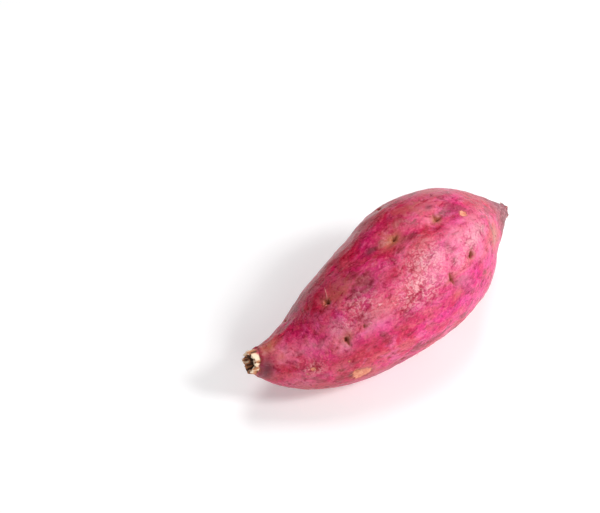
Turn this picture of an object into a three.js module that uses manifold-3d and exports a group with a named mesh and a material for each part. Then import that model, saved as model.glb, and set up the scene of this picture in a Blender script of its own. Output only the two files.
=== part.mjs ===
// A sweet potato, lifted and trimmed: one grown storage root lying on its belly.
//
// The long axis runs along X, from the trimmed stem end at -X to the tail at +X. The root is a lathe-turned taper
// that is bent onto a swaying centre line, made slightly lobed, pressed in along its furrows and at its eyes, and
// cut flat on the small spot of the belly that it rests on. All lengths are in millimetres.
import * as THREE from "three";
import { mergeVertices } from "three/addons/utils/BufferGeometryUtils.js";
import Module from "manifold-3d";

// Driving dimensions. A station is a share of the length, counted from the stem end.
const length = 152;
const flatDepth = 0.8; // how much of the round belly is missing where it rests
const ringsAlong = 84;
const facetsAround = 50;
const pointsPerSpan = 40; // how finely a smooth curve through its knots is sampled
const tangentStep = 0.05; // stations before and after a place that its direction is taken from

// Radius of the skin at each station: thin neck, full body past the middle, short tail.
const girth = [
  [0.035, 6.0],
  [0.07, 8.8],
  [0.12, 12.8],
  [0.2, 18.8],
  [0.3, 24.6],
  [0.4, 28.4],
  [0.5, 31.2],
  [0.6, 33.0],
  [0.69, 31.6],
  [0.78, 26.6],
  [0.86, 18.6],
  [0.93, 11.0],
  [0.97, 6.6],
  [1.0, 3.8],
];

// Where the centre line lies to the side of the long axis (Y), and above the resting plane (Z).
const sway = [
  [0, 0],
  [0.1, -4.6],
  [0.2, -7.6],
  [0.32, -9.2],
  [0.46, -9.2],
  [0.62, -6.4],
  [0.8, -2.4],
  [1, -0.8],
];
const rise = [
  [0, 27.4],
  [0.1, 22.6],
  [0.2, 20.8],
  [0.3, 23.4],
  [0.46, 29.2],
  [0.62, 32.6],
  [0.8, 33.0],
  [1, 29],
];

// The trimmed stem stub: a ragged woody collar that stands out of the skin, hollow in the middle.
const stub = { start: 0.014, rim: 4.9, rimBack: 0.4, collar: 5.6, hollowRadius: 2.6, hollowDepth: 2.4 };

// The tail ends in a blunt torn tip.
const tail = { overhang: 1.6, tipRadius: 2.2 };

// Lobes of the cross-section: how many there are, their share of the radius, where the first one stands
// in degrees, and how far they turn over the length.
const lobes = [
  { count: 2, share: 0.012, at: 20, turn: 40 },
  { count: 3, share: 0.014, at: 75, turn: -50 },
  { count: 5, share: 0.008, at: 10, turn: 60 },
];

// Furrows along the root; a ridge is a furrow with a depth below 0. Angles are in degrees round the centre line:
// 0 faces -Y, 90 faces up.
const furrows = [
  { from: 0.36, to: 0.74, start: 116, end: 74, depth: 1.8, halfWidth: 11 },
  { from: 0.18, to: 0.56, start: 20, end: 31, depth: 1.2, halfWidth: 10 },
  { from: 0.22, to: 0.86, start: 47, end: 55, depth: -0.8, halfWidth: 13 },
  { from: 0.3, to: 0.8, start: 178, end: 160, depth: 1.3, halfWidth: 12 },
  { from: 0.15, to: 0.6, start: 248, end: 225, depth: 1.1, halfWidth: 12 },
  { from: 0.55, to: 0.92, start: 318, end: 300, depth: 1.2, halfWidth: 12 },
  { from: 0.7, to: 0.95, start: 20, end: 34, depth: 0.8, halfWidth: 12 },
];

// Eyes, where rootlets grew: [station, angle, radius of the dimple, depth].
const eyes = [
  [0.671, 83, 5.6, 1.6],
  [0.674, 41, 4.2, 1.4],
  [0.553, 96, 4.4, 1.3],
  [0.584, 37, 3.4, 1.0],
  [0.303, 93, 4.4, 1.2],
  [0.284, 47, 4.4, 1.2],
  [0.342, 49, 2.6, 0.6],
  [0.271, 1, 2.6, 0.8],
  [0.23, 12, 2.4, 0.5],
  [0.4, 338, 3.2, 0.8],
  [0.17, 150, 2.8, 0.7],
  [0.26, 205, 4.0, 1.2],
  [0.36, 150, 3.4, 1.0],
  [0.44, 225, 4.4, 1.3],
  [0.5, 165, 3.6, 1.1],
  [0.6, 205, 3.6, 1.0],
  [0.63, 140, 4.2, 1.2],
  [0.72, 180, 3.6, 1.1],
  [0.76, 235, 3.8, 1.1],
  [0.82, 130, 2.8, 0.7],
  [0.84, 330, 3.0, 0.8],
  [0.2, 310, 3.4, 0.9],
  [0.48, 320, 3.8, 1.1],
  [0.66, 335, 4.2, 1.2],
  [0.8, 285, 3.2, 0.9],
  [0.9, 200, 2.2, 0.6],
];

const skin = new THREE.MeshStandardMaterial({ color: 0xb8335f, roughness: 0.45, metalness: 0 });

// A smooth curve through [station, value] pairs, as a function of the station.
function smoothCurve(pairs) {
  const curve = new THREE.SplineCurve(pairs.map(([station, value]) => new THREE.Vector2(station, value)));
  const points = curve.getPoints(pointsPerSpan * (pairs.length - 1));
  return (station) => {
    const next = points.findIndex((point) => point.x >= station);
    if (next < 1) return next < 0 ? points.at(-1).y : points[0].y;
    const [a, b] = [points[next - 1], points[next]];
    return THREE.MathUtils.mapLinear(station, a.x, b.x, a.y, b.y);
  };
}

const radiusAt = smoothCurve(girth);
const swayAt = smoothCurve(sway);
const riseAt = smoothCurve(rise);
const centreAt = (station) => new THREE.Vector3(station * length, swayAt(station), riseAt(station));

// The centre line's own directions at a station: along it, out to the side (near -Y) and up.
function directionsAt(station) {
  const ahead = centreAt(Math.min(1, station + tangentStep));
  const along = ahead.sub(centreAt(Math.max(0, station - tangentStep))).normalize();
  const side = new THREE.Vector3().crossVectors(along, new THREE.Vector3(0, 0, 1)).normalize();
  const up = new THREE.Vector3().crossVectors(side, along);
  return { side, up };
}

// The shorter way round from one angle to another, in degrees.
const turnBetween = (angle, other) => THREE.MathUtils.euclideanModulo(angle - other + 180, 360) - 180;

const bell = (distance) => Math.exp(-distance * distance);

// What the lobes add to the radius, as a share of it.
function lobeShare(station, angle) {
  return lobes.reduce(
    (sum, { count, share, at, turn }) =>
      sum + share * Math.cos(THREE.MathUtils.degToRad(count * (angle - at - turn * station))),
    0,
  );
}

// How far the furrows press the skin in: a bell across each furrow that fades out at both of its ends.
function furrowDepth(station, angle) {
  return furrows.reduce((sum, { from, to, start, end, depth, halfWidth }) => {
    const share = (station - from) / (to - from);
    if (share <= 0 || share >= 1) return sum;
    const middle = THREE.MathUtils.lerp(start, end, share);
    return sum + depth * Math.sin(Math.PI * share) * bell(turnBetween(angle, middle) / halfWidth);
  }, 0);
}

// How far the eyes press the skin in: a round dimple for each, measured over the surface.
function eyeDepth(station, angle, radius) {
  return eyes.reduce((sum, [eyeStation, eyeAngle, dimple, depth]) => {
    const along = (station - eyeStation) * length;
    const around = THREE.MathUtils.degToRad(turnBetween(angle, eyeAngle)) * radius;
    return sum + depth * bell(Math.hypot(along, around) / dimple);
  }, 0);
}

// The straight lathe profile, as (radius, length) points from the middle of the stub's hollow to the tail's tip.
function profile() {
  const collarStation = girth[0][0];
  const stubEnd = stub.start * length;
  const points = [
    new THREE.Vector2(0, stubEnd + stub.hollowDepth),
    new THREE.Vector2(stub.hollowRadius, stubEnd + 0.7 * stub.hollowDepth),
    new THREE.Vector2(0.85 * stub.rim, stubEnd),
    new THREE.Vector2(stub.rim, stubEnd + stub.rimBack),
    new THREE.Vector2(stub.collar, collarStation * length),
  ];
  for (let ring = 1; ring <= ringsAlong; ring++) {
    const station = THREE.MathUtils.lerp(collarStation, 1, ring / ringsAlong);
    points.push(new THREE.Vector2(radiusAt(station), station * length));
  }
  points.push(new THREE.Vector2(tail.tipRadius, length + 0.7 * tail.overhang));
  points.push(new THREE.Vector2(0, length + tail.overhang));
  return points;
}

// Bends the straight lathe body onto the centre line, and gives each ring its lobes, furrows and eyes.
function bendOntoCentreLine(geometry) {
  const position = geometry.getAttribute("position");
  for (let i = 0; i < position.count; i++) {
    const [x, y, z] = [position.getX(i), position.getY(i), position.getZ(i)];
    const station = y / length;
    const straightRadius = Math.hypot(x, z);
    const angle = straightRadius > 0 ? THREE.MathUtils.radToDeg(Math.atan2(z, x)) : 0;
    const lobed = straightRadius * (1 + lobeShare(station, angle));
    const onSkin = station > girth[0][0] && station < 1;
    const pressed = onSkin ? furrowDepth(station, angle) + eyeDepth(station, angle, straightRadius) : 0;
    const radius = Math.max(0, lobed - pressed);
    const clamped = THREE.MathUtils.clamp(station, 0, 1);
    const { side, up } = directionsAt(clamped);
    const placed = centreAt(clamped)
      .addScaledVector(side, radius * Math.cos(THREE.MathUtils.degToRad(angle)))
      .addScaledVector(up, radius * Math.sin(THREE.MathUtils.degToRad(angle)));
    placed.x += (station - clamped) * length;
    position.setXYZ(i, placed.x, placed.y, placed.z);
  }
  return geometry;
}

const wasm = await Module();
wasm.setup();

// A closed geometry as a solid that can be cut.
function solidOf(geometry) {
  const bare = geometry.clone().deleteAttribute("normal").deleteAttribute("uv");
  const merged = mergeVertices(bare, 1e-3);
  const vertProperties = merged.getAttribute("position").array;
  const triVerts = new Uint32Array(merged.index.array);
  return new wasm.Manifold(new wasm.Mesh({ numProp: 3, vertProperties, triVerts }));
}

// A solid back as a geometry with normals of its own.
function geometryOf(solid) {
  const mesh = solid.getMesh();
  const geometry = new THREE.BufferGeometry();
  geometry.setAttribute("position", new THREE.BufferAttribute(mesh.vertProperties, 3));
  geometry.setIndex(new THREE.BufferAttribute(mesh.triVerts, 1));
  geometry.computeVertexNormals();
  return geometry;
}

// The root's outside, lowered until flatDepth of it is below the resting plane, then cut off at that plane.
function rootGeometry() {
  const body = bendOntoCentreLine(new THREE.LatheGeometry(profile(), facetsAround));
  body.computeBoundingBox();
  body.translate(0, 0, -body.boundingBox.min.z - flatDepth);
  const below = new THREE.BoxGeometry(2 * length, length, length);
  below.translate(length / 2, 0, -length / 2);
  const cut = geometryOf(solidOf(body).subtract(solidOf(below)));
  cut.computeBoundingBox();
  const { min, max } = cut.boundingBox;
  return cut.translate(-(min.x + max.x) / 2, -(min.y + max.y) / 2, 0);
}

const root = new THREE.Mesh(rootGeometry(), skin);
root.name = "sweet_potato";

const group = new THREE.Group();
group.add(root);

export default group;
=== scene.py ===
import math

import bpy
import numpy as np
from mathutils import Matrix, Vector


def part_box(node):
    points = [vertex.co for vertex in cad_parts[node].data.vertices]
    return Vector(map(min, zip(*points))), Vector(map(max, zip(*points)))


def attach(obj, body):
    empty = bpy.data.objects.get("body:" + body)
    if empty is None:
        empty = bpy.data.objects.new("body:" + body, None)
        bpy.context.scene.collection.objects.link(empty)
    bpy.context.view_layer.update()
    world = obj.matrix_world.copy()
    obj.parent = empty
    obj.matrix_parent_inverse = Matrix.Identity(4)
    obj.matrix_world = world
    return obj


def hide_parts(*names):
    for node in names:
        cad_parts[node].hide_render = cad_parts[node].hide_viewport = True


# A whole sweet potato lying on its belly: one grown root, with its skin, eyes, scars, cut stem and torn tail.
# Stations are shares of the root's length, from the cut stem at -X to the tail at +X. Angles are in degrees
# round the centre line: 0 faces -Y, 90 faces up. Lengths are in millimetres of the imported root.

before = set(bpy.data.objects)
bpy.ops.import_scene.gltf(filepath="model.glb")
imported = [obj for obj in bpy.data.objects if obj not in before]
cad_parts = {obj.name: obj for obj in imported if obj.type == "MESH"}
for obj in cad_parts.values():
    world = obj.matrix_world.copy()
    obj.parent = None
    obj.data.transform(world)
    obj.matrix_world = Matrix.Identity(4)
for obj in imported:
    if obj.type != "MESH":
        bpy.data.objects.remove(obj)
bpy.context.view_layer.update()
nodeLow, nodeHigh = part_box("sweet_potato")

body = {
    "length": 152.0,
    "boxLength": 153.2,  # with the torn tip
    "flat": 0.8,  # how much of the round belly is missing where it rests
    "softEdge": 0.5,  # rounds the edge of the flat spot
    "tangentStep": 0.05,
    "girth": [
        (0.035, 6.0), (0.07, 8.8), (0.12, 12.8), (0.2, 18.8), (0.3, 24.6), (0.4, 28.4), (0.5, 31.2),
        (0.6, 33.0), (0.69, 31.6), (0.78, 26.6), (0.86, 18.6), (0.93, 11.0), (0.97, 6.6), (1.0, 3.8),
    ],
    "sway": [
        (0, 0), (0.1, -4.6), (0.2, -7.6), (0.32, -9.2), (0.46, -9.2), (0.62, -6.4), (0.8, -2.4), (1, -0.8),
    ],
    "rise": [
        (0, 27.4), (0.1, 22.6), (0.2, 20.8), (0.3, 23.4), (0.46, 29.2), (0.62, 32.6), (0.8, 33), (1, 29),
    ],
    "lobes": [(2, 0.012, 20, 40), (3, 0.014, 75, -50), (5, 0.008, 10, 60)],  # count, share, at, turn
}
millimetre = (nodeHigh.x - nodeLow.x) / body["boxLength"]

grid = {
    "stemRings": 26,
    "skinRings": 304,
    "tailRings": 14,
    "columns": 286,
    "finest": 60,  # the angle where the columns stand closest
    "crowding": 0.32,  # how much closer, as a share
}
lattice = {
    "corners": 32,  # along each side, before the noise repeats
    "shift": 500.0,  # cells, so that no place on the root has a negative one
}


# A smooth curve through (station, value) pairs, read off at the stations: Catmull-Rom, with its ends doubled.
def smoothCurve(pairs, stations, perSpan=40):
    knots = np.array([pairs[0], *pairs, pairs[-1]], float)
    share = np.linspace(0, 1, perSpan, endpoint=False)[:, None, None]
    before, start, end, after = knots[:-3], knots[1:-2], knots[2:-1], knots[3:]
    leaving = (end - before) / 2
    arriving = (after - start) / 2
    spans = (
        (2 * start - 2 * end + leaving + arriving) * share**3
        + (3 * end - 3 * start - 2 * leaving - arriving) * share**2
        + leaving * share
        + start
    )
    points = np.vstack([spans.transpose(1, 0, 2).reshape(-1, 2), knots[-1:]])
    return np.interp(stations, points[:, 0], points[:, 1])


# The centre line: station times length along X, the sway in Y and the rise in Z.
def centreLine(stations):
    sway = smoothCurve(body["sway"], stations)
    rise = smoothCurve(body["rise"], stations)
    return np.stack([stations * body["length"], sway, rise], -1)


# The centre line's own directions: along it, then side = along x up, then up = side x along.
def directionsOf(stations):
    step = body["tangentStep"]
    ahead = centreLine(np.clip(stations + step, 0, 1))
    along = ahead - centreLine(np.clip(stations - step, 0, 1))
    along /= np.linalg.norm(along, axis=-1, keepdims=True)
    side = np.cross(along, [0.0, 0.0, 1.0])
    side /= np.linalg.norm(side, axis=-1, keepdims=True)
    return along, side, np.cross(side, along)


# Bends straight (station, angle, radius) onto the centre line; what runs past either end goes straight on.
def bent(stations, angles, radii):
    inside = np.clip(stations, 0, 1)
    along, side, up = directionsOf(inside)
    turn = np.radians(angles)
    out = np.cos(turn)[..., None] * side + np.sin(turn)[..., None] * up
    past = ((stations - inside) * body["length"])[..., None] * along
    return centreLine(inside) + past + radii[..., None] * out


# A bell of height 1: e to the minus square of the distance.
def bell(distance):
    return np.exp(-distance * distance)


# 0 below low, 1 above high and an even S-bend between them.
def ease(low, high, value):
    share = np.clip((value - low) / (high - low), 0, 1)
    return share * share * (3 - 2 * share)


# The shorter way round from one angle to another.
def turnBetween(angle, other):
    return (angle - other + 180) % 360 - 180


# Lattice noise from -1 to 1: seeded random corners of cubes of the given size, blended with an S-bend.
def noiseAt(points, size, seed):
    corners = np.random.default_rng(seed).uniform(-1, 1, 3 * [lattice["corners"]])
    cell = np.asarray(points, float) / size + lattice["shift"]
    low = np.floor(cell).astype(int)
    share = cell - low
    share = share * share * (3 - 2 * share)
    total = np.zeros(cell.shape[:-1])
    for corner in range(8):
        step = np.array([corner & 1, corner >> 1 & 1, corner >> 2 & 1])
        weight = np.prod(np.where(step == 1, share, 1 - share), axis=-1)
        x, y, z = np.moveaxis((low + step) % lattice["corners"], -1, 0)
        total += weight * corners[x, y, z]
    return total


# Noise of three sizes, each half as large and half as strong as the one before, brought back to -1 to 1.
def roughness(points, size, seed):
    strengths = [1, 1 / 2, 1 / 4]
    layers = [strength * noiseAt(points, size * strength, seed + n) for n, strength in enumerate(strengths)]
    return sum(layers) / sum(strengths)


furrows = [  # from and to (stations), start and end (angles), depth, half width; a ridge has a depth below 0
    (0.36, 0.74, 116, 74, 1.8, 11),
    (0.18, 0.56, 20, 31, 1.2, 10),
    (0.22, 0.86, 47, 55, -0.8, 13),
    (0.30, 0.80, 178, 160, 1.3, 12),
    (0.15, 0.60, 248, 225, 1.1, 12),
    (0.55, 0.92, 318, 300, 1.2, 12),
    (0.70, 0.95, 20, 34, 0.8, 12),
]


# How far the furrows press the skin in: a bell across each one, times a half sine along it.
def furrowDepth(stations, angles):
    total = np.zeros(np.broadcast(stations, angles).shape)
    for start, end, angleFrom, angleTo, depth, halfWidth in furrows:
        share = np.clip((stations - start) / (end - start), 0, 1)
        middle = angleFrom + (angleTo - angleFrom) * share
        total += depth * np.sin(np.pi * share) * bell(turnBetween(angles, middle) / halfWidth)
    return total


eyes = [  # station, angle, dimple radius and depth, tan round it, strokes (turn, length, half width, depth)
    (0.671, 83, 5.6, 1.6, 0.9, [(73, 5.6, 0.46, 1.0), (-10, 3.8, 0.66, 1.2), (30, 2.2, 0.50, 0.6)]),
    (0.674, 41, 4.2, 1.4, 0.9, [(57, 2.4, 0.60, 1.3), (238, 2.0, 0.85, 2.3)]),
    (0.553, 96, 4.4, 1.3, 0.9, [(10, 2.8, 0.50, 0.9), (70, 2.3, 0.45, 0.7), (200, 1.1, 0.92, 1.9)]),
    (0.584, 37, 3.4, 1.0, 0.6, [(84, 4.6, 0.52, 1.1), (274, 5.0, 0.50, 1.0), (262, 1.3, 0.75, 1.5)]),
    (0.303, 93, 4.4, 1.2, 0.8, [
        (15, 2.0, 0.55, 0.9), (100, 2.4, 0.55, 0.9), (195, 2.2, 0.55, 0.9), (290, 2.6, 0.75, 1.4),
    ]),
    (0.284, 47, 4.4, 1.2, 0.7, [(80, 1.4, 0.72, 1.3), (266, 5.0, 0.50, 0.9), (250, 2.0, 0.78, 1.4)]),
    (0.342, 49, 2.6, 0.6, 0.1, [(60, 1.3, 0.45, 0.8), (240, 1.3, 0.45, 0.8)]),
    (0.271, 1, 2.6, 0.8, 0.3, [(30, 1.1, 0.62, 1.3), (210, 0.9, 0.55, 1.2)]),
    (0.230, 12, 2.4, 0.5, 0.3, [(60, 1.0, 0.45, 0.7)]),
    (0.400, 338, 3.2, 0.8, 0.4, [(60, 1.8, 0.45, 0.9), (240, 1.6, 0.45, 0.8)]),
    (0.170, 150, 2.8, 0.7, 0.5, [(85, 1.8, 0.50, 1.0), (262, 1.6, 0.45, 0.9)]),
    (0.260, 205, 4.0, 1.2, 0.7, [(78, 3.0, 0.55, 1.3), (262, 2.4, 0.70, 1.5)]),
    (0.360, 150, 3.4, 1.0, 0.7, [(62, 2.2, 0.60, 1.2), (240, 2.6, 0.50, 1.0)]),
    (0.440, 225, 4.4, 1.3, 0.6, [(70, 3.6, 0.55, 1.2), (-20, 2.6, 0.60, 1.2)]),
    (0.500, 165, 3.6, 1.1, 0.7, [(80, 1.4, 0.85, 1.7), (255, 3.0, 0.50, 1.0)]),
    (0.600, 205, 3.6, 1.0, 0.7, [(100, 2.2, 0.55, 1.2), (285, 2.0, 0.60, 1.3)]),
    (0.630, 140, 4.2, 1.2, 0.7, [(75, 3.2, 0.55, 1.3), (252, 2.6, 0.60, 1.3)]),
    (0.720, 180, 3.6, 1.1, 0.7, [(95, 1.5, 0.85, 1.8), (268, 1.6, 0.70, 1.4)]),
    (0.760, 235, 3.8, 1.1, 0.6, [(65, 3.0, 0.55, 1.2), (250, 3.2, 0.50, 1.1)]),
    (0.820, 130, 2.8, 0.7, 0.6, [(95, 1.8, 0.50, 1.0), (275, 1.4, 0.50, 0.9)]),
    (0.840, 330, 3.0, 0.8, 0.7, [(80, 2.0, 0.55, 1.1), (265, 1.8, 0.60, 1.2)]),
    (0.200, 310, 3.4, 0.9, 0.6, [(88, 1.6, 0.65, 1.3), (270, 2.6, 0.50, 1.0)]),
    (0.480, 320, 3.8, 1.1, 0.6, [(72, 2.6, 0.60, 1.3), (256, 2.4, 0.60, 1.3)]),
    (0.660, 335, 4.2, 1.2, 0.6, [(92, 3.4, 0.55, 1.2), (278, 2.2, 0.70, 1.5)]),
    (0.800, 285, 3.2, 0.9, 0.6, [(84, 1.6, 0.75, 1.4), (262, 1.8, 0.60, 1.2)]),
    (0.900, 200, 2.2, 0.6, 0.6, [(90, 1.3, 0.50, 0.9), (270, 1.2, 0.50, 0.8)]),
]
eyeForm = {
    "lipGap": 0.9,  # from the edge of a stroke to its raised lip
    "lipWidth": 0.7,
    "lipHeight": 0.22,
    "lipEnds": (0.5, 0.1),  # depths of a stroke between which its lip comes in
    "darkFrom": 0.75,  # a stroke this wide is as dark as they come
    "tanRadius": 2.4,
    "fade": 0.3,  # share of a stroke's half width or length that is not faded
}


# The same places on a straight root: station times length, then the radius times the angle's cosine and sine.
def straightened(stations, angles, radii):
    turn = np.radians(angles)
    return np.stack([stations * body["length"], radii * np.cos(turn), radii * np.sin(turn)], -1)


# Distances over the skin from a (station, angle) place: along the root and around it.
def distancesFrom(stations, angles, radii, station, angle):
    along = (stations - station) * body["length"]
    around = np.radians(turnBetween(angles, angle)) * radii
    return along, around


# How strong a stroke is along its length: rises over its half width and fades out towards its far end.
def strokeFade(lengthwise, length, halfWidth):
    full = eyeForm["fade"]
    return ease(-halfWidth, full * halfWidth, lengthwise) * ease(length, full * length, lengthwise)


# Every eye in one sum: a bell-shaped dimple with strokes in it, each a bell across and a fade along, with a
# raised lip on both sides. Gives how far the skin is pressed in, how dark it is there, and how tan around it.
def eyeMarks(stations, angles, radii):
    depth = np.zeros(np.broadcast(stations, angles).shape)
    dark = np.zeros_like(depth)
    tan = np.zeros_like(depth)
    for station, angle, dimple, dimpleDepth, tanShare, strokes in eyes:
        along, around = distancesFrom(stations, angles, radii, station, angle)
        away = np.hypot(along, around)
        depth += dimpleDepth * bell(away / dimple)
        tan = np.maximum(tan, tanShare * bell(away / eyeForm["tanRadius"]))
        cut = np.zeros_like(depth)
        lip = np.zeros_like(depth)
        for turn, length, halfWidth, strokeDepth in strokes:
            towards = np.radians(turn)
            lengthwise = np.cos(towards) * along + np.sin(towards) * around
            across = np.abs(np.cos(towards) * around - np.sin(towards) * along)
            fade = strokeFade(lengthwise, length, halfWidth)
            stroke = fade * bell(across / halfWidth)
            cut = np.maximum(cut, strokeDepth * stroke)
            lipAt = halfWidth + eyeForm["lipGap"]
            lip = np.maximum(lip, fade * bell((across - lipAt) / eyeForm["lipWidth"]))
            dark = np.maximum(dark, min(1.0, halfWidth / eyeForm["darkFrom"]) * stroke)
        depth += cut - eyeForm["lipHeight"] * lip * ease(*eyeForm["lipEnds"], cut)
    return depth, dark, tan


patches = {  # attribute: (station, angle, half length along, half width around, strength)
    "cork": [
        (0.284, 354, 4.4, 3.6, 1.1), (0.740, 72, 2.0, 1.9, 0.9), (0.163, 24, 1.4, 1.1, 0.8),
        (0.148, 15, 1.0, 0.8, 0.6), (0.263, 21, 0.9, 0.8, 0.6), (0.353, 48, 1.4, 0.7, 0.5),
        (0.42, 200, 2.4, 1.5, 0.8), (0.63, 235, 1.8, 1.6, 0.7), (0.78, 150, 2.6, 1.4, 0.7),
        (0.31, 260, 1.8, 1.2, 0.8), (0.55, 300, 2.0, 1.4, 0.6),
    ],
    "tan": [
        (0.545, 94, 4.6, 3.6, 0.95), (0.823, 33, 5.0, 4.4, 0.95), (0.352, 90, 5.0, 3.4, 0.6),
        (0.062, 104, 4.0, 3.4, 0.9), (0.088, 54, 1.8, 2.0, 0.5), (0.672, 84, 1.8, 1.8, 0.8),
        (0.296, 50, 1.8, 2.0, 0.6), (0.585, 24, 3.0, 2.4, 0.5), (0.705, 16, 3.0, 3.0, 0.4),
        (0.51, 200, 4.6, 3.6, 0.8), (0.72, 245, 4.0, 4.0, 0.8), (0.38, 295, 4.0, 3.0, 0.7),
        (0.22, 160, 3.6, 3.0, 0.6),
    ],
    # Pale netted scurf; the patches on the lit ridge and shoulder, at 45 to 66 degrees, also paint the sheen
    # of highlights there.
    "scurfAndSheen": [
        (0.745, 52, 5, 4, 0.9), (0.354, 49, 1.3, 1.1, 1.0), (0.404, 57, 1.0, 0.9, 1.0),
        (0.505, 48, 11, 8, 1.0), (0.560, 62, 9, 7, 0.9), (0.365, 66, 8, 7, 0.7), (0.690, 50, 8, 6, 0.8),
        (0.300, 60, 7, 6, 0.5), (0.640, 45, 9, 6, 0.5), (0.160, 24, 6, 4, 0.6), (0.42, 175, 14, 10, 0.7),
        (0.66, 215, 12, 9, 0.8), (0.25, 285, 9, 8, 0.6), (0.58, 318, 12, 8, 0.5),
    ],
    "browned": [
        (0.06, 108, 5, 6, 0.7), (0.365, 95, 6, 6, 0.7), (0.41, 84, 6, 5, 0.5), (0.655, 106, 9, 5, 0.8),
        (0.558, 102, 7, 4, 0.6), (0.735, 112, 8, 5, 0.7), (0.3, 20, 7, 5, 0.25), (0.17, 335, 12, 7, 0.5),
        (0.33, 335, 12, 7, 0.4), (0.5, 190, 9, 8, 0.6), (0.74, 250, 9, 7, 0.6), (0.22, 240, 8, 6, 0.5),
    ],
    "bruise": [
        (0.485, 103, 2.6, 2.2, 0.8), (0.686, 96, 1.8, 1.5, 0.8), (0.41, 75, 7, 5, 0.3),
        (0.355, 56, 4, 3, 0.3), (0.050, 15, 3.0, 7.5, 1.0), (0.257, 358, 1.7, 1.6, 1.1),
        (0.46, 215, 4, 3, 0.6), (0.7, 160, 4, 4, 0.5),
    ],
    # Pale pink patches that paint the sheen of highlights on the lit top, ridge and shoulder; those round the
    # far side are pale patches of skin.
    "paintedSheenAndPale": [
        (0.711, 53, 8, 6, 1.3), (0.745, 62, 7, 6, 1.0), (0.713, 36, 6, 4, 0.7), (0.790, 60, 6, 6, 0.3),
        (0.665, 60, 7, 5, 1.1), (0.618, 46, 5, 4, 0.9), (0.613, 30, 5, 4, 0.6), (0.575, 59, 6, 4, 1.1),
        (0.662, 88, 4, 3.5, 0.9), (0.759, 104, 5, 4, 0.6), (0.268, 41, 5, 3.5, 0.8),
        (0.351, 48, 4, 4, 0.8), (0.307, 100, 4, 3, 0.3), (0.288, 85, 4, 3, 0.3), (0.237, 86, 4, 3, 0.3),
        (0.239, 16, 4, 3, 0.5), (0.144, 354, 5, 4, 0.7), (0.690, 98, 7, 5, 0.6), (0.558, 53, 8, 5, 0.7),
        (0.640, 52, 9, 5, 0.5), (0.271, 60, 5, 5, 0.8), (0.300, 54, 5, 4, 0.6), (0.378, 46, 6, 4, 0.7),
        (0.110, 60, 8, 4, 0.8), (0.165, 58, 6, 4, 0.7), (0.210, 52, 6, 3, 0.6), (0.30, 180, 14, 7, 0.6),
        (0.62, 190, 12, 8, 0.7), (0.50, 280, 12, 8, 0.6), (0.74, 320, 9, 6, 0.6), (0.80, 210, 8, 6, 0.6),
    ],
    # Crimson patches of the skin; the broad ones between 106 and 136 degrees also paint shade on the
    # upper-left flank, darker than the skin is there.
    "crimson": [
        (0.463, 100, 9, 4, 0.6), (0.536, 82, 7, 3.5, 0.7), (0.589, 78, 8, 4, 0.9),
        (0.36, 132, 30, 12, 1.3), (0.29, 106, 15, 8, 0.9), (0.43, 106, 13, 8, 0.6),
        (0.57, 110, 12, 8, 0.8), (0.58, 136, 20, 12, 1.3), (0.170, 26, 7, 4, 1.2), (0.110, 26, 5, 4, 0.9),
        (0.142, 75, 5, 4, 0.7), (0.115, 52, 4, 3, 0.6), (0.463, 44, 5, 3.5, 0.8), (0.475, 71, 6, 4, 0.9),
        (0.516, 70, 6, 4, 0.9), (0.511, 36, 5, 3, 0.7), (0.531, 90, 7, 3.5, 0.3), (0.341, 74, 4, 3, 0.5),
        (0.764, 65, 4, 3, 0.7), (0.806, 78, 6, 5, 0.9), (0.847, 98, 6, 5, 0.8), (0.895, 60, 5, 5, 0.5),
        (0.069, 0, 6, 4, 0.6), (0.16, 100, 9, 8, 0.7), (0.20, 340, 14, 8, 0.9), (0.317, 29, 9, 4, 0.9),
        (0.249, 26, 8, 4, 0.9), (0.278, 86, 4, 3.5, 1.0), (0.43, 30, 8, 4, 0.6), (0.24, 60, 8, 6, 0.5),
        (0.45, 160, 14, 7, 0.7), (0.35, 235, 14, 7, 0.8), (0.7, 300, 14, 7, 0.8), (0.57, 185, 9, 5, 0.7),
    ],
    "magenta": [
        (0.482, 37, 6, 4, 1.0), (0.577, 10, 9, 5, 1.0), (0.657, 27, 6, 5, 0.9), (0.705, 42, 6, 5, 0.8),
        (0.740, 20, 6, 5, 0.8), (0.600, 25, 8, 5, 0.7), (0.669, 6, 8, 6, 0.9), (0.385, 40, 7, 4, 0.7),
        (0.61, 66, 6, 3, 0.7), (0.70, 72, 6, 5, 0.7), (0.46, 64, 6, 4, 0.6), (0.30, 66, 5, 4, 0.6),
        (0.5, 240, 12, 7, 0.9), (0.66, 270, 10, 7, 0.8), (0.3, 190, 10, 7, 0.8), (0.4, 320, 12, 7, 0.8),
    ],
}


# One attribute from its patches: the highest of their bells, each stretched along and around the root.
def patchShare(name, stations, angles, radii):
    total = np.zeros(np.broadcast(stations, angles).shape)
    for station, angle, halfLength, halfWidth, strength in patches[name]:
        along, around = distancesFrom(stations, angles, radii, station, angle)
        total = np.maximum(total, strength * bell(np.hypot(along / halfLength, around / halfWidth)))
    return total


relief = {
    "stemEnd": (0.25, 0.05),  # stations between which the skin grows more veined towards each end
    "tailEnd": (0.78, 0.97),
    "room": (2.0, 14.0),  # radii between which the coarse relief comes in, which would spoil the thin ends
    "swell": 0.7,  # slow swells
    "swellSize": 19.0,
    "bump": 0.46,
    "bumpSize": 6.5,
    "bumpLeast": 0.4,  # the share of the bumps that the thin ends keep
    "grain": 0.09,
    "grainSize": 1.7,
    "vein": 0.15,  # raised veins that run along the root
    "veinSize": 3.4,
    "veinStretch": 7.0,
    "veinShare": (0.35, 0.9),  # everywhere, and what the ends add
    "crease": 0.10,  # fine creases across it
    "creaseSize": 1.9,
    "creaseSquash": 0.28,
    "creaseHalf": 0.16,
    "creaseLeast": 0.4,  # what the middle has of them
    "scurfAndSheen": 0.14,
    "scurfSize": 1.3,
    "pimples": 90,
    "pimpleStations": (0.08, 0.94),
    "pimpleRadius": (0.5, 1.1),
    "pimpleShare": (0.3, 1.0),
    "pimpleHeight": 0.22,
}


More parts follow.
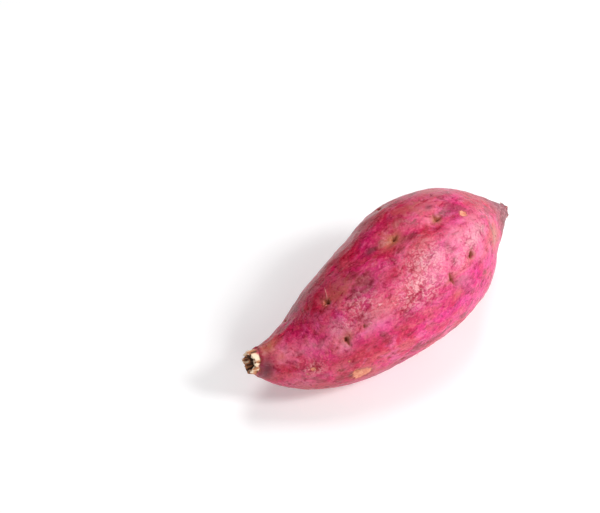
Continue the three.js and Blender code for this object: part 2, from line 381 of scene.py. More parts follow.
# The fine relief of the skin: slow swells, bumps, grain, veins stretched along the root that grow stronger
# towards both ends, creases stretched around it, and seeded pimples.
def skinRelief(stations, angles, radii, straight, scurfAndSheen):
    ends = ease(*relief["stemEnd"], stations) + ease(*relief["tailEnd"], stations)
    room = ease(*relief["room"], radii)
    least = relief["bumpLeast"]
    height = relief["swell"] * room * noiseAt(straight, relief["swellSize"], 11)
    height += relief["bump"] * (least + (1 - least) * room) * roughness(straight, relief["bumpSize"], 21)
    height += relief["grain"] * roughness(straight, relief["grainSize"], 31)

    lengthwise = straight / np.array([relief["veinStretch"], 1, 1])
    vein = 1 - 2 * np.abs(noiseAt(lengthwise, relief["veinSize"], 41))
    everywhere, more = relief["veinShare"]
    height += relief["vein"] * (everywhere + more * ends) * vein

    crosswise = straight * np.array([1, relief["creaseSquash"], relief["creaseSquash"]])
    crease = ease(relief["creaseHalf"], 0, np.abs(noiseAt(crosswise, relief["creaseSize"], 51)))
    height -= relief["crease"] * (relief["creaseLeast"] + ends) * crease
    height += relief["scurfAndSheen"] * scurfAndSheen * roughness(straight, relief["scurfSize"], 61)

    draws = np.random.default_rng(71)
    for n in range(relief["pimples"]):
        station, angle = draws.uniform(*relief["pimpleStations"]), draws.uniform(0, 360)
        size, share = draws.uniform(*relief["pimpleRadius"]), draws.uniform(*relief["pimpleShare"])
        along, around = distancesFrom(stations, angles, radii, station, angle)
        height += relief["pimpleHeight"] * share * bell(np.hypot(along, around) / size)
    return height


skinForm = {
    "settled": 0.03,  # stations from the cut edge over which the lobes and the relief come in
    "rolled": (0.006, 0.35),  # the skin's cut edge is rolled up a little: stations from the edge, height
    "corkFrom": 0.35,  # how corky a scar is where it starts to sink, and where it is down
    "corkFull": 0.75,
    "corkSunk": 0.25,
    "neck": (0.10, 0.04),  # stations between which the skin browns towards the cut stem
    "neckBrown": 0.6,
    "tail": (0.865, 0.945),  # stations between which it greys towards the tail
    "tailWander": (0.02, 5.0),  # how far the start of the grey wanders, and over what size
}


# The skin at stations and angles of one shape: the girth, made lobed, pressed in by furrows and eyes, with
# fine relief on it. Gives its radius and what each attribute is there.
def skinAt(stations, angles):
    edge = cutStem["station"]
    girth = smoothCurve(body["girth"], stations)
    lobe = sum(
        share * np.cos(np.radians(count * (angles - at - turn * stations)))
        for count, share, at, turn in body["lobes"]
    )
    settled = ease(edge, edge + skinForm["settled"], stations)
    straight = straightened(stations, angles, girth)
    marks = {name: patchShare(name, stations, angles, girth) for name in patches}
    pressed, marks["eyeDark"], marks["eyeTan"] = eyeMarks(stations, angles, girth)
    fine = skinRelief(stations, angles, girth, straight, marks["scurfAndSheen"])
    radius = girth * (1 + lobe * settled) - furrowDepth(stations, angles) - pressed + fine * settled
    rolledAt, rolledHeight = skinForm["rolled"]
    radius += rolledHeight * bell((stations - edge) / rolledAt - 1)
    radius -= skinForm["corkSunk"] * ease(skinForm["corkFrom"], skinForm["corkFull"], marks["cork"])
    marks["browned"] = np.maximum(marks["browned"], skinForm["neckBrown"] * ease(*skinForm["neck"], stations))
    wander, size = skinForm["tailWander"]
    marks["tailNeck"] = ease(*skinForm["tail"], stations + wander * noiseAt(straight, size, 121))
    return radius, marks


cutStem = {
    "profile": [  # (radius, how far it stands out of the skin's edge), from the hollow's middle
        (0, 0.1), (1.5, 0.2), (2.6, 0.7), (3.4, 1.9), (4.0, 2.8), (4.5, 3.0),
        (5.0, 2.8), (5.3, 2.0), (5.5, 1.1), (5.6, 0.35), (5.8, 0.05), (6.0, 0),
    ],
    "station": 0.035,  # where the skin ends
    "rim": (4.3, 1.1),  # radius and half width
    "inner": (4.6, 1.0),  # radii between which the hollow gets deep
    "cone": 0.02,  # how much each millimetre inwards stands out, so that the rings never fall together
    "ragged": 1.3,
    "tornSize": 2.4,
    "splinter": 0.9,
    "splinterSize": 1.0,
    "fibre": 0.35,  # how far the outer wall is fluted
    "fluted": [(2.5, 4.5), (6.0, 5.6)],  # radii between which the flutes come in and go out again
    "flutes": (0.3, 2.3),  # cells of noise for each millimetre out, and for each radian round
    "paleAt": 48,  # the fresh, pale side of the wood
    "paleHalf": 52,
    "paleRadii": (2.9, 3.7),  # radii between which the wood turns pale
    "paleWander": 12,  # degrees that its edge wanders
    "aside": 0.4,  # how far the hollow lies off the middle, away from the pale side
    "asideRadii": (5.0, 3.0),
    "bevel": 1.0,  # how far the cut leans back on the pale side
    "bevelHalf": 70,
    "lump": (128, 26, 1.1),  # a knob on the rim: angle, half width, height
    "bark": (5.62, 5.85),  # radii between which the wood gives way to the skin
    "rip": (0.005, 1.8, 2.2),  # how ragged the skin's edge is: stations, size of the tears, half width in mm
    "tone": 0.62,  # how dark the wood is, and what each thing adds to it
    "innerTone": 0.5,
    "paleTone": -0.85,
    "torn": (0.2, -0.5),  # noise between which the torn wood darkens
    "tornTone": 0.3,
    "splinterTone": -1.0,
}


# The cut stem: its profile carried round the centre line, leaning back on the pale side, with the rim torn by
# noise, a knob on it and bits standing in the hollow. Gives radius, angle, how far out, and how dark.
def cutStemRings(angles):
    share = np.linspace(0, 1, grid["stemRings"] + 1)[1:]
    profile = np.array(cutStem["profile"], float)
    step = np.linspace(0, 1, len(profile))
    radius = np.interp(share, step, profile[:, 0])[:, None] + 0 * angles
    out = np.interp(share, step, profile[:, 1])[:, None] + 0 * angles
    spot = straightened(0 * radius, angles, radius)
    rimAt, rimHalf = cutStem["rim"]
    rim = bell((radius - rimAt) / rimHalf)
    inner = ease(*cutStem["inner"], radius)
    torn = roughness(spot, cutStem["tornSize"], 81)
    splinter = noiseAt(spot, cutStem["splinterSize"], 97)

    lumpAt, lumpHalf, lumpHeight = cutStem["lump"]
    out = out + cutStem["ragged"] * rim * torn + cutStem["splinter"] * (rim + inner) * splinter
    out = out + lumpHeight * bell(turnBetween(angles, lumpAt) / lumpHalf) * rim
    facing = bell(turnBetween(angles, cutStem["paleAt"]) / cutStem["bevelHalf"])
    out = np.maximum(0, out - cutStem["bevel"] * facing * rim) + cutStem["cone"] * (profile[-1, 0] - radius)

    turn = np.radians(angles + 0 * radius)
    outwards, around = cutStem["flutes"]
    fibre = noiseAt(np.stack([out * outwards, np.cos(turn) * around, np.sin(turn) * around], -1), 1.0, 95)
    comesIn, goesOut = cutStem["fluted"]
    radius = radius + cutStem["fibre"] * ease(*comesIn, radius) * ease(*goesOut, radius) * fibre
    offPale = np.abs(turnBetween(angles + cutStem["paleWander"] * torn, cutStem["paleAt"]))
    pale = ease(cutStem["paleHalf"], 0.5 * cutStem["paleHalf"], offPale)
    pale = pale * ease(*cutStem["paleRadii"], radius + 0.5 * splinter)
    tone = cutStem["tone"] + cutStem["innerTone"] * inner + cutStem["paleTone"] * pale
    tone = tone + cutStem["tornTone"] * ease(*cutStem["torn"], torn) + cutStem["splinterTone"] * splinter

    aside = cutStem["aside"] * ease(*cutStem["asideRadii"], radius)
    across = radius * np.cos(turn) - aside * math.cos(math.radians(cutStem["paleAt"]))
    upward = radius * np.sin(turn) - aside * math.sin(math.radians(cutStem["paleAt"]))
    moved = np.degrees(np.arctan2(upward, across))
    return np.hypot(across, upward), moved, out, np.clip(tone, 0, 1.2)


tornTail = {
    "profile": [  # (share of the last ring's radius, how far past it), to the middle
        (0.99, 0.25), (0.96, 0.6), (0.9, 1.0), (0.8, 1.3), (0.66, 1.35), (0.5, 1.0), (0.3, 0.6), (0, 0.5),
    ],
    "rim": (0.78, 0.25),  # share of the radius, half width
    "low": 0.5,  # how far the rim is torn down between the horns
    "ragged": 0.8,
    "tornSize": 1.5,
    "least": 0.1,  # how far the tip stays past the last ring at least
    "horns": [(135, 26, 1.3), (-20, 22, 1.2), (70, 18, 0.5), (215, 24, 0.7)],  # angle, half width, height
    "hornDark": 0.8,
}


# The torn tip past the last station: a low crater with a rim of fibres that stands up in a few horns.
# Gives radius, how far out, and how dark the horns are.
def tornTailRings(angles):
    profile = np.array(tornTail["profile"], float)
    step = np.linspace(0, 1, len(profile))
    share = np.linspace(0, 1, grid["tailRings"] + 1)[:-1]
    lastRadius = body["girth"][-1][1]
    radius = lastRadius * np.interp(share, step, profile[:, 0])[:, None] + 0 * angles
    out = np.interp(share, step, profile[:, 1])[:, None] + 0 * angles
    spot = straightened(0 * radius, angles, radius)
    rimAt, rimHalf = tornTail["rim"]
    rim = bell((radius / lastRadius - rimAt) / rimHalf)
    horn = sum(height * bell(turnBetween(angles, at) / half) for at, half, height in tornTail["horns"])
    rough = tornTail["ragged"] * roughness(spot, tornTail["tornSize"], 101)
    out = out + rim * (horn - tornTail["low"] + rough)
    return radius, np.maximum(tornTail["least"], out), tornTail["hornDark"] * rim * np.clip(horn, 0, 1)


# The whole skin as one grid of rings and columns, from the hollow of the cut stem to the torn tip.
# Gives the points, the same points on the straightened root, and what each attribute is there.
def rootSurface():
    even = np.linspace(0, 360, grid["columns"], endpoint=False)
    crowding = np.degrees(grid["crowding"])
    angles = (even - crowding * np.sin(np.radians(even - grid["finest"])))[None, :]

    edge = cutStem["station"]
    stemRadius, stemAngles, stemOut, woodTone = cutStemRings(angles)
    stemStations = edge - stemOut / body["length"]

    skinStations = np.linspace(edge, 1, grid["skinRings"] + 1)[1:, None] + 0 * angles
    skinRadius, marks = skinAt(skinStations, angles + 0 * skinStations)

    tailRadius, tailOut, hornDark = tornTailRings(angles)
    tailStations = 1 + tailOut / body["length"]
    tailRadius = tailRadius * (skinRadius[-1:] / body["girth"][-1][1])

    stations = np.vstack([stemStations, skinStations, tailStations])
    radii = np.vstack([stemRadius, skinRadius, tailRadius])
    turns = np.vstack([stemAngles, angles + 0 * skinStations, angles + 0 * tailStations])
    straight = straightened(stations, turns, radii)
    ripLength, ripSize, ripHalf = cutStem["rip"]
    rip = noiseAt(straight * np.array([0, 1, 1]), ripSize, 111)
    stations = stations + ripLength * rip * bell((stations - edge) * body["length"] / ripHalf)
    points = bent(stations, turns, radii)

    def whole(stem, skin, tail):  # joins the three stretches of an attribute
        ends = np.broadcast_to(stem, stemRadius.shape), np.broadcast_to(tail, tailRadius.shape)
        return np.vstack([ends[0], skin, ends[1]])

    attributes = {name: whole(0, values, 0) for name, values in marks.items()}
    attributes["browned"] = whole(1, marks["browned"], 1)
    attributes["tailNeck"] = whole(0, marks["tailNeck"], 1)
    attributes["eyeDark"] = whole(0, marks["eyeDark"], hornDark)
    attributes["wood"] = whole(1 - ease(*cutStem["bark"], stemRadius), 0 * skinStations, 0)
    attributes["hollow"] = whole(woodTone, 0 * skinStations, 0)
    return points, straight, attributes


# Presses what hangs below the table softly onto it: (z + the root of (z squared + softEdge squared)) / 2.
def restOnBelly(points):
    height = points[..., 2] - points[..., 2].min() - body["flat"]
    soft = body["softEdge"]
    height = (height + np.sqrt(height**2 + soft**2)) / 2
    lift = height.min()
    drop = -points[..., 2].min() - body["flat"] - lift
    points[..., 2] = height - lift
    return points, drop


# One smooth object from its points, its faces in arrays of one corner count each, and its attributes.
def pieceOf(name, points, faces, attributes):
    corners = np.concatenate([group.ravel() for group in faces])
    sizes = np.concatenate([np.full(len(group), group.shape[1]) for group in faces])
    mesh = bpy.data.meshes.new(name)
    mesh.vertices.add(len(points))
    mesh.vertices.foreach_set("co", points.ravel())
    mesh.loops.add(len(corners))
    mesh.loops.foreach_set("vertex_index", corners)
    mesh.polygons.add(len(sizes))
    mesh.polygons.foreach_set("loop_start", np.concatenate([[0], np.cumsum(sizes)[:-1]]))
    mesh.polygons.foreach_set("use_smooth", np.ones(len(sizes), bool))
    mesh.update(calc_edges=True)
    for label, values in attributes.items():
        kind, field = ("FLOAT", "value") if values.ndim == 1 else ("FLOAT_VECTOR", "vector")
        stored = mesh.attributes.new(label, kind, "POINT")
        stored.data.foreach_set(field, values.astype(np.float32).ravel())
    mesh.validate()
    piece = bpy.data.objects.new(name, mesh)
    bpy.context.scene.collection.objects.link(piece)
    return piece


# Rings and columns as one closed piece, with a fan to a pole at each end.
def ringMesh(name, points, attributes):
    rings, columns = points.shape[:2]
    ring, column = np.meshgrid(np.arange(rings - 1), np.arange(columns), indexing="ij")
    after = (column + 1) % columns
    quads = np.stack([
        ring * columns + column, (ring + 1) * columns + column,
        (ring + 1) * columns + after, ring * columns + after,
    ], -1).reshape(-1, 4)
    first = np.arange(columns)
    second = (first + 1) % columns
    last = (rings - 1) * columns
    start = np.stack([0 * first + rings * columns, first, second], -1)
    end = np.stack([last + first, 0 * first + rings * columns + 1, last + second], -1)

    def withPoles(values):  # ring by ring, then the middle of the first and of the last
        flat = values.reshape(rings * columns, *values.shape[2:])
        return np.concatenate([flat, [values[0].mean(0), values[-1].mean(0)]])

    marks = {label: withPoles(values) for label, values in attributes.items()}
    return pieceOf(name, withPoles(points), [quads, start, end], marks)


# Adds a node, sets its choices, and fills its inputs with numbers, colours or other nodes' outputs.
def addNode(tree, kind, inputs=None, **choices):
    made = tree.nodes.new(kind)
    for choice, value in choices.items():
        setattr(made, choice, value)
    for name, value in (inputs or {}).items():
        if isinstance(value, bpy.types.NodeSocket):
            tree.links.new(value, made.inputs[name])
        else:
            made.inputs[name].default_value = value
    return made


# A new material with its node tree and its shader.
def newMaterial(name):
    material = bpy.data.materials.new(name)
    material.use_nodes = True
    tree = material.node_tree
    return material, tree, tree.nodes["Principled BSDF"]


def setInputs(shader, levels):
    for name, level in levels.items():
        shader.inputs[name].default_value = level


def attributeOf(tree, name, output="Fac"):
    return addNode(tree, "ShaderNodeAttribute", attribute_name=name).outputs[output]


# The start value plus each (value, weight) pair's product.
def weightedSum(tree, terms, start=0.0):
    total = start
    for value, weight in terms:
        inputs = {0: value, 1: weight, 2: total}
        total = addNode(tree, "ShaderNodeMath", inputs, operation="MULTIPLY_ADD").outputs[0]
    return total


def productOf(tree, first, second):
    return addNode(tree, "ShaderNodeMath", {0: first, 1: second}, operation="MULTIPLY").outputs[0]


# 0 to 1 while the value goes from low to high, with an S-bend; low above high turns it round.
def windowOf(tree, value, low, high):
    window = {"Value": value, "From Min": low, "From Max": high}
    made = addNode(tree, "ShaderNodeMapRange", window, interpolation_type="SMOOTHSTEP")
    return made.outputs["Result"]


# The place on the root, in cells of the given size; stretch gives how much longer a cell is along the root.
def cellsOf(tree, place, size, stretch=1.0, shift=0.0):
    scale = (1 / size / stretch, 1 / size, 1 / size)
    mapping = {"Vector": place, "Scale": scale, "Location": (shift, shift, 0)}
    return addNode(tree, "ShaderNodeMapping", mapping).outputs["Vector"]


# Noise from 0 to 1 in cells of the given size, with finer detail, drawn out along the root or warped.
def noiseOf(tree, place, size, detail=2.0, stretch=1.0, shift=0.0, warp=0.0):
    cells = cellsOf(tree, place, size, stretch, shift)
    inputs = {"Vector": cells, "Scale": 1.0, "Detail": detail, "Distortion": warp}
    return addNode(tree, "ShaderNodeTexNoise", inputs).outputs["Fac"]


# One colour over another by a share: mixed, added or multiplied.
def mixOf(tree, share, under, over, blend="MIX"):
    colours = {0: share, 6: under, 7: over}
    return addNode(tree, "ShaderNodeMix", colours, data_type="RGBA", blend_type=blend).outputs[2]


skinColours = {
    "magenta": (0.74, 0.020, 0.185, 1),
    "crimson": (0.64, 0.010, 0.085, 1),
    "salmon": (0.67, 0.105, 0.135, 1),
    "pink": (0.79, 0.125, 0.330, 1),
    "dark": (0.300, 0.016, 0.040, 1),
    "shade": (0.60, 0.46, 0.42, 1),  # what dark mottles leave of the colour under them
    "light": (0.17, 0.090, 0.090, 1),  # what pale mottles add to it
    "speck": (0.20, 0.012, 0.030, 1),
    # pale pink scurf, which on the lit ridge also paints highlight sheen
    "scurfAndSheen": (0.92, 0.47, 0.50, 1),
    "browned": (0.40, 0.105, 0.075, 1),
    "tan": (0.56, 0.170, 0.085, 1),
    "tailNeck": (0.19, 0.062, 0.074, 1),
    "tailStreak": (0.41, 0.190, 0.205, 1),
    "cork": (0.88, 0.370, 0.235, 1),
    "corkDeep": (0.74, 0.230, 0.150, 1),
    "corkEdge": (0.34, 0.070, 0.040, 1),
    "bruise": (0.15, 0.028, 0.045, 1),
    # these two deepen the crimson patches, and on the upper-left flank paint shade
    "deepCrimsonAndShade": (0.50, 0.006, 0.045, 1),
    "crimsonAndShadeTint": (0.84, 0.22, 0.46, 1),
    "magentaTint": (1.0, 0.34, 1.0, 1),
    "vividMagenta": (0.76, 0.026, 0.270, 1),
    # a pale pink that paints highlight sheen, and pale skin round the far side
    "paintedSheenAndPale": (0.83, 0.270, 0.390, 1),
    "eyeTan": (0.40, 0.150, 0.050, 1),
    "eyeBrown": (0.29, 0.062, 0.030, 1),
    "eyeDark": (0.110, 0.012, 0.006, 1),
    "wood": (0.93, 0.74, 0.54, 1),
    "woodTan": (0.58, 0.22, 0.10, 1),
    "hollow": (0.12, 0.052, 0.030, 1),
}
skinTextures = {  # size in millimetres, detail, stretch along the root, shift, warp
    "hue": (13.0, 2.0, 1.4, 2.0, 0.0),
    "warmth": (7.5, 4.0, 1.3, 7.0, 0.5),
    "blotch": (5.0, 3.0, 1.2, 19.0, 0.4),
    "mottle": (2.6, 3.0, 1.3, 13.0, 0.6),
    "streak": (1.2, 3.0, 5.0, 3.0, 0.0),
    "grain": (1.0, 2.0, 1.0, 11.0, 0.0),
    "dab": (1.5, 2.0, 1.0, 23.0, 1.2),
    "pores": (0.5, 2.0, 1.0, 31.0, 0.0),
}
speckCells = (3.7, 1.6, 15.0)  # size, stretch, shift
skinSums = {  # a value that others are added to, and their weights
    "corky": ("cork", {"mottle": 0.7, "grain": 0.9}),
    "woodTone": ("hollow", {"grain": 0.5}),
}
skinWindows = {  # a value, and from where to where it counts
    "scurfMottle": ("mottle", 0.25, 0.52),
    "scurfDab": ("dab", 0.46, 0.60),
    "corked": ("corky", 1.20, 1.44),
    "eyeDeep": ("eyeDark", 0.05, 0.5),
    "tailStreaks": ("streak", 0.42, 0.64),
    "corkFlakes": ("dab", 0.40, 0.62),
    "tanWood": ("woodTone", 0.35, 0.75),
    "darkWood": ("woodTone", 0.80, 1.10),
}
skinLayers = [  # attribute, texture, where the layer starts and where it is full, its share, colour, blend
    ("", "hue", 0.42, 0.58, 1.0, "magenta", "MIX"),
    ("", "warmth", 0.51, 0.61, 0.62, "salmon", "MIX"),
    ("", "blotch", 0.53, 0.63, 0.52, "pink", "MIX"),
    ("", "warmth", 0.48, 0.35, 0.80, "dark", "MIX"),
    ("magenta", "blotch", 0.25, 0.55, 0.80, "vividMagenta", "MIX"),
    # deepens the crimson patches, and paints shade on the upper-left flank
    ("crimson", "blotch", 0.20, 0.50, 0.60, "deepCrimsonAndShade", "MIX"),
    ("", "mottle", 0.50, 0.32, 0.75, "shade", "MULTIPLY"),
    ("", "mottle", 0.53, 0.72, 0.68, "light", "ADD"),
    ("", "streak", 0.56, 0.80, 0.40, "light", "ADD"),
    ("", "grain", 0.48, 0.30, 0.75, "shade", "MULTIPLY"),
    ("", "grain", 0.54, 0.74, 0.80, "light", "ADD"),
    # darkens the crimson patches further, painted shade on the upper-left flank
    ("crimson", "mottle", 0.10, 0.45, 0.85, "crimsonAndShadeTint", "MULTIPLY"),
    ("magenta", "mottle", 0.10, 0.45, 0.65, "magentaTint", "MULTIPLY"),
    # paints the sheen of highlights in pale pink over its patches
    ("paintedSheenAndPale", "mottle", 0.20, 0.60, 0.66, "paintedSheenAndPale", "MIX"),
    ("", "specks", 0.18, 0.06, 0.22, "speck", "MIX"),
    # the scurf's pale dabs, on the lit ridge also a painted highlight sheen
    ("scurfAndSheenDabs", "", 0, 1, 1.0, "scurfAndSheen", "MIX"),
    ("scurfAndSheenMask", "dab", 0.44, 0.34, 0.55, "shade", "MULTIPLY"),
    ("browned", "mottle", 0.30, 0.60, 0.80, "browned", "MIX"),
    ("tan", "mottle", 0.20, 0.50, 0.85, "tan", "MIX"),
    ("tailNeck", "dab", 0.10, 0.50, 0.88, "tail", "MIX"),
    ("bruise", "grain", 0.10, 0.45, 0.95, "bruise", "MIX"),
    ("", "corky", 1.02, 1.22, 0.6, "corkEdge", "MIX"),
    ("corked", "", 0, 1, 1.0, "corkInside", "MIX"),
    ("eyeTan", "dab", 0.20, 0.50, 0.8, "eyeTan", "MIX"),
    ("", "eyeDark", 0.05, 0.45, 0.8, "eyeBrown", "MIX"),
    ("", "eyeDark", 0.40, 0.95, 1.0, "eyeDark", "MIX"),
    ("wood", "", 0, 1, 1.0, "cutWood", "MIX"),
]
skinFinish = {
    "scurfAndSheenDabs": (0.14, 0.66),  # how much the scurf and its painted sheen show between their dabs, and what they add
    "roughness": 0.18,
    "rougher": {"mottle": 0.26, "corked": 0.3, "wood": 0.35, "tailNeck": 0.2, "eyeDeep": 0.45},
    "bumps": {"grain": 0.8, "pores": 0.3, "streak": 0.5, "mottle": 0.9, "scurfAndSheenDabs": 1.0},
    "bump": {"Strength": 0.8, "Distance": 0.0003},
    "shader": {"IOR": 1.40, "Specular IOR Level": 0.4},
}


# The skin: layers of colour over crimson, from slow blotches to grain, then what each attribute marks. What a
# layer covers is the window of its texture times its share, times its attribute if it has one.
def skinMaterial(marks):
    material, tree, shader = newMaterial("root_skin")
    place = attributeOf(tree, "straight", "Vector")

    def summed(weights, start=0.0):
        return weightedSum(tree, [(value[part], weight) for part, weight in weights.items()], start)

    value = {name: noiseOf(tree, place, *texture) for name, texture in skinTextures.items()}
    value.update({name: attributeOf(tree, name) for name in marks})
    cells = cellsOf(tree, place, *speckCells)
    specks = addNode(tree, "ShaderNodeTexVoronoi", {"Vector": cells, "Scale": 1.0})
    value["specks"] = specks.outputs["Distance"]
    value.update({name: summed(weights, value[start]) for name, (start, weights) in skinSums.items()})
    for name, (source, low, high) in skinWindows.items():
        value[name] = windowOf(tree, value[source], low, high)
    between, dabs = skinFinish["scurfAndSheenDabs"]
    value["scurfAndSheenMask"] = productOf(tree, value["scurfAndSheen"], value["scurfMottle"])
    value["scurfAndSheenDabs"] = productOf(tree, value["scurfAndSheenMask"], summed({"scurfDab": dabs}, between))

    colour = dict(skinColours)
    colour["tail"] = mixOf(tree, value["tailStreaks"], colour["tailNeck"], colour["tailStreak"])
    colour["corkInside"] = mixOf(tree, value["corkFlakes"], colour["corkDeep"], colour["cork"])
    wood = mixOf(tree, value["tanWood"], colour["wood"], colour["woodTan"])
    colour["cutWood"] = mixOf(tree, value["darkWood"], wood, colour["hollow"])

    skin = colour["crimson"]
    for attribute, texture, low, high, strength, over, blend in skinLayers:
        share = productOf(tree, windowOf(tree, value[texture], low, high), strength) if texture else strength
        share = productOf(tree, share, value[attribute]) if attribute else share
        skin = mixOf(tree, share, skin, colour[over], blend)
    tree.links.new(skin, shader.inputs["Base Color"])

    rough = summed(skinFinish["rougher"], skinFinish["roughness"])
    tree.links.new(rough, shader.inputs["Roughness"])
    height = summed(skinFinish["bumps"])
    bump = addNode(tree, "ShaderNodeBump", {**skinFinish["bump"], "Height": height})
    tree.links.new(bump.outputs["Normal"], shader.inputs["Normal"])
    setInputs(shader, skinFinish["shader"])
    return material


rootPoints, rootStraight, rootMarks = rootSurface()
rootPoints, rootDrop = restOnBelly(rootPoints)
rootPoints *= millimetre
rootMiddle = (rootPoints.reshape(-1, 3).min(0) + rootPoints.reshape(-1, 3).max(0)) / 2
boxMiddle = (np.array(nodeLow) + np.array(nodeHigh)) / 2
rootShift = np.array([boxMiddle[0] - rootMiddle[0], boxMiddle[1] - rootMiddle[1], nodeLow.z])
rootSkin = ringMesh("root_skin", rootPoints + rootShift, {**rootMarks, "straight": rootStraight})
rootSkin.data.materials.append(skinMaterial(rootMarks))
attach(rootSkin, "root")
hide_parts("sweet_potato")
print("root skin:", len(rootSkin.data.vertices), "points")


rootlets = {
    "hairs": [  # station, angle, turn over the skin, bend, length, thickness, how far the end stands off
        (0.305, 93, 52, 16, 6.4, 0.17, 1.2),
        (0.301, 91, 232, -60, 2.2, 0.15, 0.6),
        (0.675, 87, 118, 40, 2.6, 0.14, 0.6),
        (0.997, 128, 10, 30, 3.2, 0.30, 0.6),
        (0.995, -25, -8, -30, 2.6, 0.30, 0.5),
        (0.996, 60, 4, 50, 2.0, 0.26, 0.7),
        (0.260, 205, 160, 80, 11.0, 0.24, 2.4),
        (0.440, 225, 30, -70, 6.0, 0.22, 1.6),
        (0.500, 165, 95, 60, 7.5, 0.24, 2.2),
        (0.720, 180, 200, -50, 9.0, 0.26, 2.6),
        (0.480, 320, 150, 60, 5.0, 0.22, 1.4),
        (0.800, 285, 60, 70, 6.5, 0.24, 1.8),
    ],
    "steps": 14,
    "sides": 7,
    "sunk": 0.4,  # how deep each one starts in the skin
    "lifting": 1.3,  # powers of the length at which they lift off and thin out
    "thinning": 1.5,
    "tip": 0.02,
    "fibre": 0.0009,  # size of the fibres in metres
    "fibreTone": 0.5,
    "tipFrom": 0.35,
    "colour": (0.55, 0.150, 0.150, 1),
    "tipColour": (0.74, 0.33, 0.28, 1),
    "roughness": 0.45,
    "fibreRoughness": 0.3,
    "bump": {"Strength": 0.6, "Distance": 0.0001},
}


# Each rootlet leaves its eye over the skin in its own turn and bend, lifts off it with a power of its length,
# and is a tube that thins to a point; all are one array of hairs, steps and sides.
def rootletTubes():
    hairs = np.array(rootlets["hairs"], float)
    station, angle, turn, bend, length, thickness, lift = hairs.T[:, :, None]
    share = np.linspace(0, 1, rootlets["steps"])[None, :]
    towards = np.radians(turn + bend * share)
    step = length / (rootlets["steps"] - 1)
    along = (np.cumsum(np.cos(towards), 1) - np.cos(towards[:, :1])) * step
    around = (np.cumsum(np.sin(towards), 1) - np.sin(towards[:, :1])) * step
    startRadius = smoothCurve(body["girth"], station + 0 * share)
    stations = station + along / body["length"]
    angles = angle + np.degrees(around / startRadius)
    skinRadius, _ = skinAt(stations, angles)
    lifted = (lift + rootlets["sunk"]) * share ** rootlets["lifting"] - rootlets["sunk"]
    path = bent(stations, angles, skinRadius + lifted)
    ahead = np.gradient(path, axis=1)
    ahead /= np.linalg.norm(ahead, axis=-1, keepdims=True)
    side = np.cross(ahead, [0.31, 0.22, 0.92])  # no hair runs this way
    side /= np.linalg.norm(side, axis=-1, keepdims=True)
    other = np.cross(ahead, side)
    ring = np.linspace(0, 2 * np.pi, rootlets["sides"], endpoint=False)
    thick = (thickness * (1 - share ** rootlets["thinning"]) + rootlets["tip"])[:, :, None, None]
    tubes = path[:, :, None] + thick * (
        np.cos(ring)[:, None] * side[:, :, None] + np.sin(ring)[:, None] * other[:, :, None]
    )
    tubes[..., 2] += rootDrop
    return tubes * millimetre + rootShift, np.broadcast_to(share[:, :, None], tubes.shape[:3])


# Paler where the share of the length, plus the fibres times their tone, is beyond tipFrom.
def rootletMaterial():
    material, tree, shader = newMaterial("rootlets")
    place = addNode(tree, "ShaderNodeTexCoord").outputs["Object"]
    fibre = noiseOf(tree, place, rootlets["fibre"])
    tone = weightedSum(tree, [(fibre, rootlets["fibreTone"])], attributeOf(tree, "tip"))
    share = windowOf(tree, tone, rootlets["tipFrom"], 1.0)
    tree.links.new(mixOf(tree, share, rootlets["colour"], rootlets["tipColour"]), shader.inputs["Base Color"])
    rough = weightedSum(tree, [(fibre, rootlets["fibreRoughness"])], rootlets["roughness"])
    tree.links.new(rough, shader.inputs["Roughness"])
    bump = addNode(tree, "ShaderNodeBump", {**rootlets["bump"], "Height": fibre})
    tree.links.new(bump.outputs["Normal"], shader.inputs["Normal"])
    return material


# Grids of rings as one piece: each is closed by a face at both of its ends.
def tubesMesh(name, tubes, tip):
    count, rings, sides = tubes.shape[:3]
    index = np.arange(count * rings * sides).reshape(count, rings, sides)
    after = np.roll(index, -1, axis=2)
    quads = np.stack([index[:, :-1], after[:, :-1], after[:, 1:], index[:, 1:]], -1).reshape(-1, 4)
    return pieceOf(name, tubes.reshape(-1, 3), [quads, index[:, 0, ::-1], index[:, -1]], {"tip": tip.ravel()})


rootletPiece = tubesMesh("rootlets", *rootletTubes())
rootletPiece.data.materials.append(rootletMaterial())
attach(rootletPiece, "root")
print("rootlets:", len(rootlets["hairs"]), "hairs")


studio = {
    "floorSize": 6.0,
    "floorShader": {
        "Base Color": (0.86, 0.86, 0.865, 1), "Roughness": 0.9, "Specular IOR Level": 0.1,
        "Emission Color": (1, 1, 1, 1),
    },
    "floorGlow": {  # the floor glows, so that shadows on it stay light, and more so where no lamp reaches
        "From Min": 0.5, "From Max": 1.6,  # metres from the root
        "To Min": 0.24, "To Max": 0.95,
    },
    "sky": {  # its light on the root: from facing away from the bright side to facing it
        "From Min": -0.1, "From Max": 0.95,
        "To Min": 0.01, "To Max": 0.55,
    },
    "skyBright": (0.9, 0.1, 0.3),  # the bright side, as the camera sees it (right, away, up)
    "skySeen": 1.0,  # how bright the sky stands behind the root
    "lamps": [  # name, which way it stands as the camera sees it (right, away, up), distance, size, power
        ("key", 0.68, -0.24, 0.70, 1.1, 0.28, 6.4),
        ("top", 0.05, 0.38, 0.92, 1.1, 0.50, 5.3),
        ("front", 0.12, -0.80, 0.59, 1.1, 0.40, 2.6),
    ],
}
camera = {
    "azimuth": -37.0,
    "elevation": 48.0,
    "distance": 750.0,
    "lens": 97.8,
    "sensor": 36.0,
    "clip": (0.01, 20.0),
    "height": 28.0,  # of the point that the aim is counted from, halfway along the body
    "aimRight": -35.4,
    "aimUp": 12.6,
}


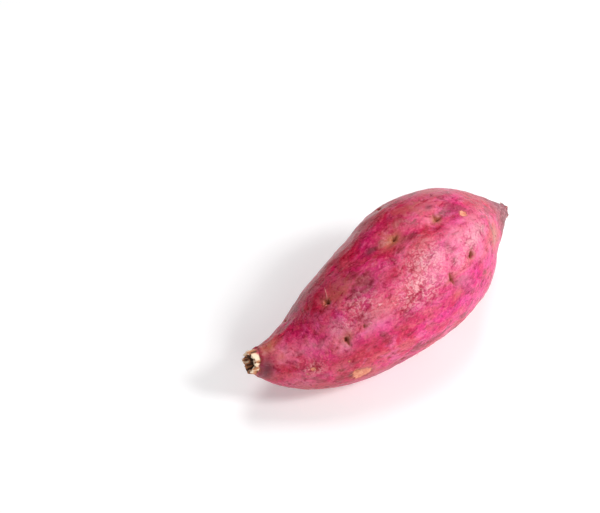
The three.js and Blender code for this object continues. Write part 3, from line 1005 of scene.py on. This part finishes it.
# A square of floor whose glow grows with the distance from the root.
def plainFloor():
    half = studio["floorSize"] / 2
    corners = np.array([(-half, -half, 0), (half, -half, 0), (half, half, 0), (-half, half, 0)])
    floor = pieceOf("floor", corners, [np.array([(0, 1, 2, 3)])], {})
    material, tree, shader = newMaterial("floor")
    setInputs(shader, studio["floorShader"])
    place = addNode(tree, "ShaderNodeTexCoord").outputs["Object"]
    away = addNode(tree, "ShaderNodeVectorMath", {0: place}, operation="LENGTH").outputs["Value"]
    glow = addNode(tree, "ShaderNodeMapRange", {"Value": away, **studio["floorGlow"]}).outputs["Result"]
    tree.links.new(glow, shader.inputs["Emission Strength"])
    floor.data.materials.append(material)


# So far right, away and up for the camera, as a direction of length 1.
def wayOf(right, away, toRight, toAway, toUp):
    return (toRight * right + toAway * away + toUp * Vector((0, 0, 1))).normalized()


# A white sky that looks the same all round but lights the root mostly from its bright side, and three square
# lamps: the key to the right, one from above, and a weak one in front.
def studioLight(right, away, target):
    world = bpy.data.worlds.new("studio")
    world.use_nodes = True
    sky = world.node_tree
    background = sky.nodes["Background"]
    background.inputs["Color"].default_value = (1, 1, 1, 1)
    way = addNode(sky, "ShaderNodeTexCoord").outputs["Generated"]
    towards = {0: way, 1: wayOf(right, away, *studio["skyBright"])}
    facing = addNode(sky, "ShaderNodeVectorMath", towards, operation="DOT_PRODUCT").outputs["Value"]
    light = addNode(sky, "ShaderNodeMapRange", {"Value": facing, **studio["sky"]}).outputs["Result"]
    seen = addNode(sky, "ShaderNodeLightPath").outputs["Is Camera Ray"]
    either = {"Value": seen, "To Min": light, "To Max": studio["skySeen"]}
    strength = addNode(sky, "ShaderNodeMapRange", either).outputs["Result"]
    sky.links.new(strength, background.inputs["Strength"])
    bpy.context.scene.world = world
    for name, toRight, toAway, toUp, distance, size, power in studio["lamps"]:
        light = bpy.data.lights.new(name, "AREA")
        light.shape = "SQUARE"
        light.size = size
        light.energy = power
        lamp = bpy.data.objects.new(name, light)
        toLamp = wayOf(right, away, toRight, toAway, toUp)
        lamp.location = target + distance * toLamp
        lamp.rotation_mode = "QUATERNION"
        lamp.rotation_quaternion = (-toLamp).to_track_quat("-Z", "Y")
        bpy.context.scene.collection.objects.link(lamp)


# The camera looks down on the root from its own azimuth and elevation, with its aim moved across the view.
def studioCamera():
    azimuth, elevation = math.radians(camera["azimuth"]), math.radians(camera["elevation"])
    right = Vector((math.cos(azimuth), math.sin(azimuth), 0))
    away = Vector((-math.sin(azimuth), math.cos(azimuth), 0))
    back = Vector((0, 0, math.sin(elevation))) - math.cos(elevation) * away
    up = back.cross(right)
    start = Vector(rootShift) + millimetre * Vector((body["length"] / 2, 0, camera["height"]))
    aim = start + millimetre * (camera["aimRight"] * right + camera["aimUp"] * up)
    data = bpy.data.cameras.new("camera")
    data.lens = camera["lens"]
    data.sensor_width = camera["sensor"]
    data.clip_start, data.clip_end = camera["clip"]
    seer = bpy.data.objects.new("camera", data)
    seer.location = aim + millimetre * camera["distance"] * back
    seer.rotation_mode = "QUATERNION"
    seer.rotation_quaternion = (-back).to_track_quat("-Z", "Y")
    bpy.context.scene.collection.objects.link(seer)
    bpy.context.scene.camera = seer
    return right, away, start


plainFloor()
viewRight, viewAway, viewTarget = studioCamera()
studioLight(viewRight, viewAway, viewTarget)
bpy.context.scene.view_settings.view_transform = "Standard"
print("studio: floor, sky,", len(studio["lamps"]), "lamps and camera")
